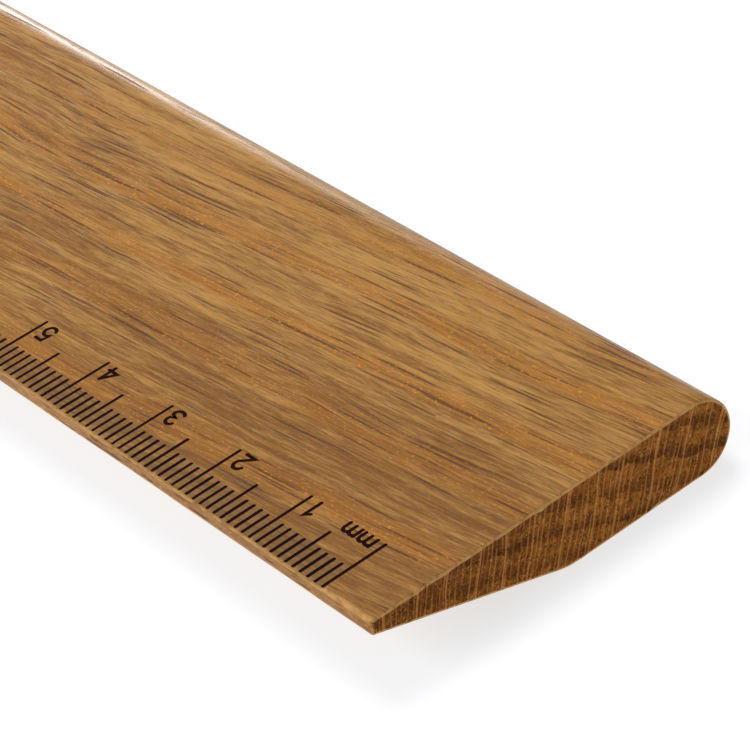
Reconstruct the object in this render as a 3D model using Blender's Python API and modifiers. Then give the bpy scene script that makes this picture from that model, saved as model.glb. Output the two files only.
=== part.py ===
"""Wooden desk ruler, 30 cm, cut from one piece of oak, with burnt graduations.

The section is a wedge with a flat top, a full-round thick edge, a flat rest
under the thick half and a bevel under the thin half. The scale runs along the
thin edge. Each centimetre stroke is a shallow engraving in the blank with the
charred wood in it as a solid of its own, a hair below the top face.

Frame, in metres: X runs along the ruler with the zero end at +X, Y runs from
the thin edge (-Y) to the round edge (+Y), and Z is up. The origin is the centre
of the footprint, with the flat rest of the underside at Z = 0.
"""

import math

import bmesh
import bpy
from mathutils import Matrix

# Driving dimensions
SCALE_LENGTH = 0.300
END_MARGIN = 0.0066
WIDTH = 0.040
THICKNESS = 0.0078
THIN_EDGE_HEIGHT = 0.0015
RIDGE_FROM_THIN_EDGE = 0.0205

# Roundings
ARRIS_RADIUS = 0.00015
RIDGE_RADIUS = 0.008
END_EASE = 0.00012
EASE_ANGLE = math.radians(60)

# Graduations
CENTIMETRE = 0.01
CM_LENGTH = 0.00715
STROKE_WIDTH = 0.0003
STROKE_FROM_EDGE = 0.0002
ENGRAVING_DEPTH = 0.00025
CHAR_RECESS = 0.00003
CHAR_CLEARANCE = 0.00003
CUTTER_HEADROOM = 0.0005

# Fineness of the round stretches, in straight segments
NOSE_SEGMENTS = 28
RIDGE_SEGMENTS = 6
ARRIS_SEGMENTS = 3
STROKE_END_SEGMENTS = 6
WELD_DISTANCE = 0.0000005
FLAT_ANGLE = math.radians(0.05)

# Sizes that follow
LENGTH = SCALE_LENGTH + 2 * END_MARGIN
TOP_Z = THICKNESS
THIN_EDGE_Y = -WIDTH / 2
ROUND_EDGE_Y = WIDTH / 2
NOSE_RADIUS = THICKNESS / 2
RIDGE_Y = THIN_EDGE_Y + RIDGE_FROM_THIN_EDGE
THIN_EDGE_FOOT_Z = THICKNESS - THIN_EDGE_HEIGHT
BEVEL_ANGLE = math.atan2(THIN_EDGE_FOOT_Z, RIDGE_FROM_THIN_EDGE)
ZERO_X = LENGTH / 2 - END_MARGIN
STROKE_START_Y = THIN_EDGE_Y + STROKE_FROM_EDGE
CM_COUNT = round(SCALE_LENGTH / CENTIMETRE)

# Colours, linear
OAK = (0.330, 0.160, 0.052, 1.0)
CHAR = (0.012, 0.005, 0.004, 1.0)

# Maps an outline drawn in XY, with its thickness on Z, to Y, Z and X
ACROSS_THE_RULER = Matrix(((0, 0, 1, 0), (1, 0, 0, 0), (0, 1, 0, 0), (0, 0, 0, 1)))


def clear_scene():
    """Remove every object of the startup scene."""
    for obj in list(bpy.data.objects):
        bpy.data.objects.remove(obj, do_unlink=True)


def new_collection(name):
    """A collection linked to the scene."""
    collection = bpy.data.collections.new(name)
    bpy.context.scene.collection.children.link(collection)
    return collection


def principled(name, colour, roughness):
    """A dielectric material of one colour."""
    material = bpy.data.materials.new(name)
    material.use_nodes = True
    shader = material.node_tree.nodes["Principled BSDF"]
    shader.inputs["Base Color"].default_value = colour
    shader.inputs["Roughness"].default_value = roughness
    shader.inputs["Metallic"].default_value = 0.0
    return material


def arc(centre, radius, start, end, segments):
    """Points on an arc, both ends included. Angles are in radians, anticlockwise from +X."""
    turns = [start + (end - start) * i / segments for i in range(segments + 1)]
    return [(centre[0] + radius * math.cos(a), centre[1] + radius * math.sin(a)) for a in turns]


def rounded_corner(corner, arriving, leaving, radius, segments):
    """An arc that rounds the corner between two directions of travel, turning left."""
    half_turn = (leaving - arriving) / 2
    reach = radius / math.cos(half_turn)
    middle = arriving + half_turn + math.pi / 2
    centre = (corner[0] + reach * math.cos(middle), corner[1] + reach * math.sin(middle))
    return arc(centre, radius, arriving - math.pi / 2, leaving - math.pi / 2, segments)


def section_outline():
    """The section as (Y, Z) points, anticlockwise from the foot of the thin edge."""
    downhill = -BEVEL_ANGLE
    foot = rounded_corner(
        (THIN_EDGE_Y, THIN_EDGE_FOOT_Z), -math.pi / 2, downhill, ARRIS_RADIUS, ARRIS_SEGMENTS
    )
    ridge = rounded_corner((RIDGE_Y, 0.0), downhill, 0.0, RIDGE_RADIUS, RIDGE_SEGMENTS)
    nose = arc(
        (ROUND_EDGE_Y - NOSE_RADIUS, NOSE_RADIUS), NOSE_RADIUS, -math.pi / 2, math.pi / 2, NOSE_SEGMENTS
    )
    top_arris = rounded_corner(
        (THIN_EDGE_Y, TOP_Z), math.pi, 1.5 * math.pi, ARRIS_RADIUS, ARRIS_SEGMENTS
    )
    return foot + ridge + nose + top_arris


def stroke_outline(length, width):
    """A stroke with round ends, which starts at Y = 0 and runs along +Y."""
    radius = width / 2
    near = arc((0, radius), radius, math.pi, 2 * math.pi, STROKE_END_SEGMENTS)
    far = arc((0, length - radius), radius, 0, math.pi, STROKE_END_SEGMENTS)
    return near + far


def prism(name, outline, thickness):
    """A closed mesh: a filled 2D curve of the outline, extruded to both sides of its plane."""
    curve = bpy.data.curves.new(name, "CURVE")
    curve.dimensions = "2D"
    curve.fill_mode = "BOTH"
    curve.extrude = thickness / 2
    spline = curve.splines.new("POLY")
    spline.points.add(len(outline) - 1)
    for point, (x, y) in zip(spline.points, outline):
        point.co = (x, y, 0, 1)
    spline.use_cyclic_u = True
    guide = bpy.data.objects.new(name + "_outline", curve)
    bpy.context.scene.collection.objects.link(guide)
    evaluated = guide.evaluated_get(bpy.context.evaluated_depsgraph_get())
    mesh = bpy.data.meshes.new_from_object(evaluated)
    mesh.name = name
    close_caps(mesh)
    bpy.data.objects.remove(guide)
    return mesh


def placed(name, mesh, placement, collection):
    """An object of a mesh, which other objects may share."""
    obj = bpy.data.objects.new(name, mesh)
    obj.matrix_world = placement
    collection.objects.link(obj)
    return obj


def close_caps(mesh):
    """Weld a curve's loose caps to its sides and make each cap one face."""
    form = bmesh.new()
    form.from_mesh(mesh)
    bmesh.ops.remove_doubles(form, verts=form.verts, dist=WELD_DISTANCE)
    bmesh.ops.dissolve_limit(form, angle_limit=FLAT_ANGLE, verts=form.verts, edges=form.edges)
    bmesh.ops.recalc_face_normals(form, faces=form.faces)
    form.to_mesh(mesh)
    form.free()


def stroke_place(centimetre, z):
    """Where the stroke of a whole centimetre starts, with the middle of its thickness at z."""
    return Matrix.Translation((ZERO_X - centimetre * CENTIMETRE, STROKE_START_Y, z))


def engraving_cutters(collection):
    """One cutter for each centimetre stroke, a little wider and deeper than the char in it."""
    height = ENGRAVING_DEPTH + CUTTER_HEADROOM
    middle = TOP_Z - ENGRAVING_DEPTH + height / 2
    outline = stroke_outline(CM_LENGTH, STROKE_WIDTH + 2 * CHAR_CLEARANCE)
    mesh = prism("engraving", outline, height)
    for centimetre in range(CM_COUNT + 1):
        place = stroke_place(centimetre, middle)
        cutter = placed(f"engraving_{centimetre:02d}", mesh, place, collection)
        cutter.hide_render = True
        cutter.display_type = "WIRE"


def make_blank(parts, cutters):
    """The oak blank: the section along the whole length, ends eased, and the centimetre strokes engraved."""
    section = prism("oak_blank", section_outline(), LENGTH)
    blank = placed("oak_blank", section, ACROSS_THE_RULER, parts)
    ease = blank.modifiers.new("ends_eased", "BEVEL")
    ease.width = END_EASE
    ease.segments = 1
    ease.limit_method = "ANGLE"
    ease.angle_limit = EASE_ANGLE
    engraving_cutters(cutters)
    engrave = blank.modifiers.new("centimetres_engraved", "BOOLEAN")
    engrave.operation = "DIFFERENCE"
    engrave.solver = "EXACT"
    engrave.operand_type = "COLLECTION"
    engrave.collection = cutters
    return blank


def make_centimetre_strokes(parts):
    """The burnt wood in each centimetre stroke, a little below the top face."""
    thickness = ENGRAVING_DEPTH - CHAR_CLEARANCE - CHAR_RECESS
    middle = TOP_Z - CHAR_RECESS - thickness / 2
    outline = stroke_outline(CM_LENGTH - 2 * CHAR_CLEARANCE, STROKE_WIDTH)
    mesh = prism("centimetre_stroke", outline, thickness)
    into_engraving = Matrix.Translation((0, CHAR_CLEARANCE, 0))
    strokes = []
    for centimetre in range(CM_COUNT + 1):
        name = f"cm_line_{centimetre:02d}" if centimetre else "zero_line"
        place = stroke_place(centimetre, middle) @ into_engraving
        strokes.append(placed(name, mesh, place, parts))
    return strokes


def dress(obj, material, parent):
    """Give a piece its material, smooth shading with sharp corners, and its parent."""
    obj.data.materials.clear()
    obj.data.materials.append(material)
    obj.data.shade_smooth()
    obj.data.set_sharp_from_angle(angle=math.radians(30))
    obj.parent = parent


def main():
    """Build the ruler."""
    clear_scene()
    parts = new_collection("oak_ruler")
    cutters = new_collection("cutters")
    cutters.hide_render = True
    frame = bpy.data.objects.new("ruler_frame", None)
    parts.objects.link(frame)
    oak = principled("oiled_oak", OAK, 0.45)
    char = principled("burnt_oak", CHAR, 0.80)
    dress(make_blank(parts, cutters), oak, frame)
    for stroke in make_centimetre_strokes(parts):
        dress(stroke, char, frame)


main()
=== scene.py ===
"""Looks of a 30 cm oak desk ruler: an oiled oak blank with a burnt millimetre scale.

The blank is one stick of ring-porous oak. Its rings, pores and rays are a pattern
in the solid, so they run from the top over the edges and down the sawn ends. The
scale is engraved into the blank, and charred wood fills the engraving.
"""

import logging
import math
from dataclasses import dataclass
from enum import Enum
from typing import NamedTuple

import bmesh
import bpy
from mathutils import Matrix, Vector, noise


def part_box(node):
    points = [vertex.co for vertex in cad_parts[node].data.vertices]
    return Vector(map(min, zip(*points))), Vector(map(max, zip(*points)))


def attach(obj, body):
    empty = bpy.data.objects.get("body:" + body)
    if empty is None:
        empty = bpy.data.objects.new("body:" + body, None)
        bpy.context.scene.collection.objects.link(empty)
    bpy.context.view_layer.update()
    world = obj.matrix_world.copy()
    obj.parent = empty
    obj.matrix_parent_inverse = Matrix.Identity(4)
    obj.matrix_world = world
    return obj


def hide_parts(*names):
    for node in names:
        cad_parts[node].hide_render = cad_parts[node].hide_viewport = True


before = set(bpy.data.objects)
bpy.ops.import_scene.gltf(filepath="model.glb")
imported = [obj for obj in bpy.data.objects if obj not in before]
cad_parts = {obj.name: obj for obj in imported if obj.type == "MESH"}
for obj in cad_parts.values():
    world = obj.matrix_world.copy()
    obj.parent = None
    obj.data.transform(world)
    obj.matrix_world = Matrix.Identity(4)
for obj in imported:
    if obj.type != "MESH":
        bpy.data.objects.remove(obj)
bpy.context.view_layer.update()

MM = 0.001
BODY = "root"
log = logging.getLogger("oak_ruler")

Span = tuple[float, float]
Point = tuple[float, float]
Triple = tuple[float, float, float]
Colour = tuple[float, float, float, float]
Path = list[Point]
Socket = bpy.types.NodeSocket
Node = bpy.types.Node
Tree = bpy.types.NodeTree
Finish = bpy.types.Material
Thing = bpy.types.Object
Form = bmesh.types.BMesh


class Mark(Enum):
    """The kinds of graduation, with how often each comes, in millimetres."""

    MILLIMETRE = 1
    HALF_CENTIMETRE = 5
    CENTIMETRE = 10


class Cut(Enum):
    """How a face of the blank was cut from the tree, with its material's place on the blank."""

    LONG_GRAIN = 0
    END_GRAIN = 1


# ---------------------------------------------------------------- node helpers


class Mottle(NamedTuple):
    """Random mottling: how fine it is along three axes, its finer layers and their strength."""

    fineness: Triple
    layers: float = 2.0
    strength: float = 0.5


class NodeBench:
    """Adds nodes to one tree, with their settings, values and links in one call."""

    def __init__(self, tree: Tree) -> None:
        """Work on a tree."""
        self.tree = tree

    def feed(self, node: Node, inputs: dict) -> None:
        """Set a node's inputs.

        Args:
            node: The node.
            inputs: Socket name or index to a value or to the socket that feeds it.
        """
        for key, value in inputs.items():
            if isinstance(value, Socket):
                self.tree.links.new(value, node.inputs[key])
            else:
                node.inputs[key].default_value = value

    def add(self, kind: str, inputs: dict | None = None, **settings: object) -> Node:
        """Add a node.

        Args:
            kind: The node's type name.
            inputs: What its inputs are fed, as in feed.
            settings: The node's own properties.

        Returns:
            The new node.
        """
        node = self.tree.nodes.new(kind)
        for name, value in settings.items():
            setattr(node, name, value)
        self.feed(node, inputs or {})
        return node

    def maths(self, operation: str, *values: object, clamp: bool = False) -> Socket:
        """One Math node's result, kept from 0 to 1 if clamp is set."""
        inputs = dict(enumerate(values))
        return self.add("ShaderNodeMath", inputs, operation=operation, use_clamp=clamp).outputs[0]

    def times(self, product: object, *factors: object) -> Socket:
        """Multiply numbers.

        Args:
            product: The first number.
            factors: The others.

        Returns:
            The product's socket.
        """
        for factor in factors:
            product = self.maths("MULTIPLY", product, factor)
        return product

    def axes(self, vector: Socket) -> list[Socket]:
        """The X, Y and Z of a vector."""
        return list(self.add("ShaderNodeSeparateXYZ", {0: vector}).outputs)

    def vector(self, *numbers: object) -> Socket:
        """The vector of up to three numbers, with 0 for each that is left out."""
        return self.add("ShaderNodeCombineXYZ", dict(enumerate(numbers))).outputs[0]

    def moved(self, operation: str, vector: Socket, by: Triple) -> Socket:
        """The vector after one Vector Math operation with three numbers."""
        return self.add("ShaderNodeVectorMath", {0: vector, 1: by}, operation=operation).outputs[0]

    def fade(self, value: object, start: object, end: object, low: float = 0.0, high: float = 1.0) -> Socket:
        """A smooth step.

        Args:
            value: What is read.
            start: Where the result is low.
            end: Where the result is high. It may lie below start.
            low: The result at start.
            high: The result at end.

        Returns:
            The result's socket.
        """
        inputs = {"Value": value, "From Min": start, "From Max": end, "To Min": low, "To Max": high}
        node = self.add("ShaderNodeMapRange", inputs, interpolation_type="SMOOTHSTEP")
        return node.outputs["Result"]

    def blend(self, factor: object, low: object, high: object) -> Socket:
        """A colour between two, by the factor."""
        return self.add("ShaderNodeMix", {0: factor, 6: low, 7: high}, data_type="RGBA").outputs[2]

    def between(self, factor: object, low: float, high: float) -> Socket:
        """A number between two, by the factor."""
        return self.add("ShaderNodeMix", {0: factor, 2: low, 3: high}, data_type="FLOAT").outputs[0]

    def mottled(self, place: Socket, mottle: Mottle) -> Socket:
        """Random mottling of a place.

        Args:
            place: The position.
            mottle: What the mottling is like.

        Returns:
            A number from 0 to 1.
        """
        inputs = {
            "Vector": self.moved("MULTIPLY", place, mottle.fineness),
            "Scale": 1.0,
            "Detail": mottle.layers,
            "Roughness": mottle.strength,
        }
        return self.add("ShaderNodeTexNoise", inputs).outputs["Fac"]


def new_group(
    name: str, inputs: dict[str, str], outputs: dict[str, str], kind: str = "ShaderNodeTree"
) -> tuple[NodeBench, Node, Node]:
    """Start a node group with its sockets.

    Args:
        name: The group's name.
        inputs: Each input's name and the kind of its socket.
        outputs: The same for the outputs.
        kind: The kind of tree.

    Returns:
        A bench on the group, its input node and its output node.
    """
    group = bpy.data.node_groups.new(name, kind)
    for in_out, sockets in (("INPUT", inputs), ("OUTPUT", outputs)):
        for socket, form in sockets.items():
            group.interface.new_socket(socket, in_out=in_out, socket_type=f"NodeSocket{form}")
    bench = NodeBench(group)
    return bench, bench.add("NodeGroupInput"), bench.add("NodeGroupOutput")


def new_material(name: str) -> tuple[Finish, NodeBench, Node]:
    """A material with a Principled shader.

    Args:
        name: The material's name.

    Returns:
        The material, a bench on its tree, and the shader.
    """
    material = bpy.data.materials.new(name)
    material.use_nodes = True
    shader = material.node_tree.nodes["Principled BSDF"]
    return material, NodeBench(material.node_tree), shader


# ---------------------------------------------------------------- finishes


class Needles(NamedTuple):
    """Vessels as needles: spacing across and along the grain, and share in late and in early wood."""

    pitch: float
    run: float
    late_share: float
    early_share: float


class WoodPlace(NamedTuple):
    """A place in straightened wood: its position, and its distance along, around and out from the pith."""

    grown: Socket
    along: Socket
    around: Socket
    radius: Socket


@dataclass(frozen=True)
class OakFigure:
    """How the oak grew, in millimetres: its pith, rings, vessels and rays, and the mottling of each.

    Places are in the ruler's frame. The grain drifts sideways as it runs along the
    ruler, by a steady lean and one slow wave.
    """

    pith_y: float = -61.0
    pith_z: float = -156.2
    lean: float = 0.045
    wave_height: float = 2.2
    wave_length: float = 260.0
    wave_start: float = 140.0
    wander: Mottle = Mottle((0.022, 0.05, 0.05))
    wander_height: float = 2.4
    ripple: Mottle = Mottle((0.09, 0.22, 0.22), 1.0)
    ripple_height: float = 0.5

    ring_width: float = 2.65
    first_ring: float = 171.6
    ring_mottle: Mottle = Mottle((0.015, 0.45, 0.45), 3.0)
    ring_waver: float = 0.75
    ring_rise: Span = (0.0, 0.08)
    ring_fall: Span = (0.58, 0.20)
    vigour: Span = (0.6, 1.0)
    patch: Mottle = Mottle((0.05, 0.5, 0.5))
    patch_edge: Span = (0.3, 0.6)
    least_patch: float = 0.6

    drift: Mottle = Mottle((0.018, 0.16, 0.16), 3.0, 0.55)
    heart_side: Span = (8.0, -12.0)
    heart_shade: float = 0.32
    fibre: Mottle = Mottle((0.36, 6.0, 6.0), 4.0, 0.74)
    streaks: Mottle = Mottle((0.06, 1.25, 1.25), 3.0, 0.6)
    crumbs: Mottle = Mottle((4.6 / 2.2, 4.6, 4.6))
    crumb_edge: Span = (0.58, 0.70)

    large_pores: Needles = Needles(0.46, 13.0, 0.62, 0.95)
    thin_pores: Needles = Needles(0.46 * 0.55, 13.0 * 0.7, 0.50, 0.75)
    thin_pore_shift: Triple = (31.7, 5.3, 2.9)
    thin_pore_depth: float = 0.65
    pore_reach: Span = (0.36, 0.47)
    pore_unevenness: Span = (0.6, 1.15)
    pore_floor: float = 0.6

    ray_pitch: float = 3.3
    ray_thickness: float = 0.20
    fine_ray_pitch: float = 0.62
    fine_ray_thickness: float = 0.17
    fine_ray_strength: Span = (0.25, 0.7)
    ray_looseness: float = 0.8
    ray_softness: float = 0.5
    ray_wobble: Mottle = Mottle((0.06, 0.3, 0.12), 1.0)
    ray_wobble_width: float = 0.9
    ray_breaks: Mottle = Mottle((0.12, 1.5, 0.25), 1.0)
    ray_break_edge: Span = (0.42, 0.58)
    flames: Mottle = Mottle((0.1, 2.6, 0.75), 3.0, 0.6)

    def group(self) -> Tree:
        """The shader node group of the figure.

        Returns:
            A group that takes a position in millimetres and puts out the masks of
            earlywood, pores, rays, fibre, streaks, flames and flecks, and the tone.
        """
        names = ("Earlywood", "Pores", "Rays", "Fibre", "Streaks", "Flames", "Flecks", "Tone")
        outputs = dict.fromkeys(names, "Float")
        bench, source, target = new_group("oak_figure", {"Position": "Vector"}, outputs)
        place = self._in_the_wood(bench, source.outputs["Position"])
        earlywood = self._earlywood(bench, place)
        masks = {
            "Earlywood": earlywood,
            "Pores": self._pores(bench, place, earlywood),
            "Rays": self._rays(bench, place),
            "Fibre": bench.mottled(place.grown, self.fibre),
            "Streaks": bench.mottled(place.grown, self.streaks),
            "Flames": bench.mottled(bench.vector(place.along, place.around, place.radius), self.flames),
            "Flecks": bench.fade(bench.mottled(place.grown, self.crumbs), *self.crumb_edge),
            "Tone": self._tone(bench, place),
        }
        bench.feed(target, masks)
        return bench.tree

    def _in_the_wood(self, bench: NodeBench, position: Socket) -> WoodPlace:
        """Take out the grain's drift and measure from the pith.

        Args:
            bench: The group's bench.
            position: The position in the ruler's frame.

        Returns:
            The place in wood that is straight in it.
        """
        x, y, z = bench.axes(position)
        along = bench.maths("SUBTRACT", x, self.wave_start)
        turn = bench.times(along, 2 * math.pi / self.wave_length)
        wave = bench.times(bench.maths("SINE", turn), self.wave_height)
        sideways = bench.maths("MULTIPLY_ADD", along, self.lean, wave)
        ripple = bench.times(bench.mottled(position, self.ripple), self.ripple_height)
        wander = bench.mottled(position, self.wander)
        slack = bench.maths("MULTIPLY_ADD", wander, self.wander_height, ripple)
        straight = bench.maths("SUBTRACT", bench.maths("ADD", y, slack), sideways)
        centred = bench.maths("SUBTRACT", straight, self.wander_height / 2)
        out = bench.maths("SUBTRACT", centred, self.pith_y)
        up = bench.maths("SUBTRACT", z, self.pith_z)
        radius = bench.maths("SQRT", bench.maths("ADD", bench.times(out, out), bench.times(up, up)))
        around = bench.times(bench.maths("ARCTAN2", out, up), self.first_ring)
        return WoodPlace(bench.vector(x, centred, z), x, around, radius)

    def _tone(self, bench: NodeBench, place: WoodPlace) -> Socket:
        """The slow drift from pale to dark wood.

        Args:
            bench: The group's bench.
            place: The place in the wood.

        Returns:
            A number that is high in pale wood and low towards the heart.
        """
        across = bench.axes(place.grown)[1]
        towards_heart = bench.fade(across, *self.heart_side, 0.0, self.heart_shade)
        return bench.maths("SUBTRACT", bench.mottled(place.grown, self.drift), towards_heart)

    def _earlywood(self, bench: NodeBench, place: WoodPlace) -> Socket:
        """The porous band that starts each ring, with a sharp inner side.

        Args:
            bench: The group's bench.
            place: The place in the wood.

        Returns:
            A mask that is 1 where a ring starts and 0 in the dense late wood.
        """
        out = bench.maths("SUBTRACT", place.radius, self.first_ring)
        even = bench.maths("DIVIDE", out, self.ring_width)
        uneven = bench.mottled(place.grown, self.ring_mottle)
        years = bench.maths("MULTIPLY_ADD", uneven, self.ring_waver, even)
        phase = bench.maths("FRACT", years)
        year = bench.maths("FLOOR", years)
        chance = bench.add("ShaderNodeTexWhiteNoise", {"W": year}, noise_dimensions="1D").outputs["Value"]
        patch = bench.fade(bench.mottled(place.grown, self.patch), *self.patch_edge, self.least_patch)
        return bench.times(
            bench.fade(phase, *self.ring_rise),
            bench.fade(phase, *self.ring_fall),
            bench.between(chance, *self.vigour),
            patch,
        )

    def _pores(self, bench: NodeBench, place: WoodPlace, earlywood: Socket) -> Socket:
        """Large vessels, crowded in the earlywood, and thin ones everywhere.

        Args:
            bench: The group's bench.
            place: The place in the wood.
            earlywood: The earlywood's mask.

        Returns:
            A mask that is 1 inside a large vessel, and less inside a thin one.
        """
        large = self._needles(bench, place.grown, self.large_pores, earlywood)
        shifted = bench.moved("ADD", place.grown, self.thin_pore_shift)
        thin = self._needles(bench, shifted, self.thin_pores, earlywood)
        return bench.maths("MAXIMUM", large, bench.times(thin, self.thin_pore_depth))

    def _needles(self, bench: NodeBench, grown: Socket, needles: Needles, earlywood: Socket) -> Socket:
        """One kind of vessel.

        Args:
            bench: The group's bench.
            grown: The position in straightened wood.
            needles: The vessels' spacing and share.
            earlywood: The earlywood's mask.

        Returns:
            A mask that is 1 inside a vessel.
        """
        place = bench.moved("MULTIPLY", grown, (1 / needles.run, 1 / needles.pitch, 1 / needles.pitch))
        cells = bench.add("ShaderNodeTexVoronoi", {"Vector": place, "Scale": 1.0, "Randomness": 1.0})
        chance = bench.add("ShaderNodeSeparateColor", {0: cells.outputs["Color"]}).outputs
        share = bench.between(earlywood, needles.late_share, needles.early_share)
        there = bench.maths("LESS_THAN", chance["Red"], share)
        uneven = bench.between(chance["Green"], *self.pore_unevenness)
        wall = bench.times(bench.between(earlywood, *self.pore_reach), uneven)
        hollow = bench.fade(cells.outputs["Distance"], wall, bench.times(wall, self.pore_floor))
        return bench.times(hollow, there)

    def _rays(self, bench: NodeBench, place: WoodPlace) -> Socket:
        """Medullary rays: broad ones every few millimetres and fine, broken ones between.

        Args:
            bench: The group's bench.
            place: The place in the wood.

        Returns:
            A mask that is 1 on a broad ray.
        """
        run = bench.vector(place.along, place.around, place.radius)
        wobble = bench.mottled(run, self.ray_wobble)
        across = bench.maths("MULTIPLY_ADD", wobble, self.ray_wobble_width, place.around)
        broad = self._ray_lines(bench, across, self.ray_pitch, self.ray_thickness)
        fine = self._ray_lines(bench, across, self.fine_ray_pitch, self.fine_ray_thickness)
        broken = bench.fade(bench.mottled(run, self.ray_breaks), *self.ray_break_edge)
        seen = bench.between(broken, *self.fine_ray_strength)
        return bench.maths("MAXIMUM", broad, bench.times(fine, seen))

    def _ray_lines(self, bench: NodeBench, across: Socket, pitch: float, thickness: float) -> Socket:
        """Thin sheets at uneven spacing.

        Args:
            bench: The group's bench.
            across: The distance across the sheets.
            pitch: Their mean spacing.
            thickness: How thick each is.

        Returns:
            A mask that is 1 on a sheet.
        """
        inputs = {
            "W": bench.maths("DIVIDE", across, pitch),
            "Scale": 1.0,
            "Randomness": self.ray_looseness,
        }
        cells = bench.add(
            "ShaderNodeTexVoronoi", inputs, voronoi_dimensions="1D", feature="DISTANCE_TO_EDGE"
        )
        half = thickness / pitch / 2
        edge = (half * (1 + self.ray_softness), half * (1 - self.ray_softness))
        return bench.fade(cells.outputs["Distance"], *edge)


@dataclass(frozen=True)
class OakColours:
    """The colours of one kind of cut through the oak, linear, and how strong each mask is in it."""

    dark: Colour
    light: Colour
    earlywood: Colour
    pore: Colour
    ray: Colour
    fleck: Colour
    worn: Colour
    earlywood_share: float
    pore_share: float
    ray_share: float
    flame_share: float
    fleck_share: float
    early_fleck_share: float
    roughness: float
    specular: float
    polish: float
    relief: float


LONG_GRAIN_COLOURS = OakColours(
    dark=(0.178, 0.066, 0.006, 1.0),
    light=(0.460, 0.238, 0.056, 1.0),
    earlywood=(0.350, 0.122, 0.005, 1.0),
    pore=(0.095, 0.034, 0.004, 1.0),
    ray=(0.600, 0.270, 0.045, 1.0),
    fleck=(0.640, 0.265, 0.025, 1.0),
    # Pale edge colour: partly rubbed wood, partly a painted highlight line along the arrises.
    worn=(0.680, 0.380, 0.140, 1.0),
    earlywood_share=0.62,
    pore_share=0.80,
    ray_share=0.20,
    flame_share=0.0,
    fleck_share=0.20,
    early_fleck_share=0.75,
    roughness=0.36,
    specular=0.12,
    polish=0.10,
    relief=0.022 * MM,
)

END_GRAIN_COLOURS = OakColours(
    dark=(0.135, 0.040, 0.0036, 1.0),
    light=(0.460, 0.158, 0.018, 1.0),
    earlywood=(0.062, 0.017, 0.0020, 1.0),
    pore=(0.030, 0.008, 0.002, 1.0),
    ray=(0.620, 0.255, 0.060, 1.0),
    fleck=(0.900, 0.560, 0.280, 1.0),
    # Pale rim colour on the sawn ends: partly rubbed wood, partly a painted highlight line along the arris.
    worn=(0.850, 0.460, 0.170, 1.0),
    earlywood_share=0.88,
    pore_share=0.55,
    ray_share=0.60,
    flame_share=0.50,
    fleck_share=0.26,
    early_fleck_share=0.08,
    roughness=0.65,
    specular=0.05,
    polish=0.0,
    relief=0.06 * MM,
)


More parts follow.
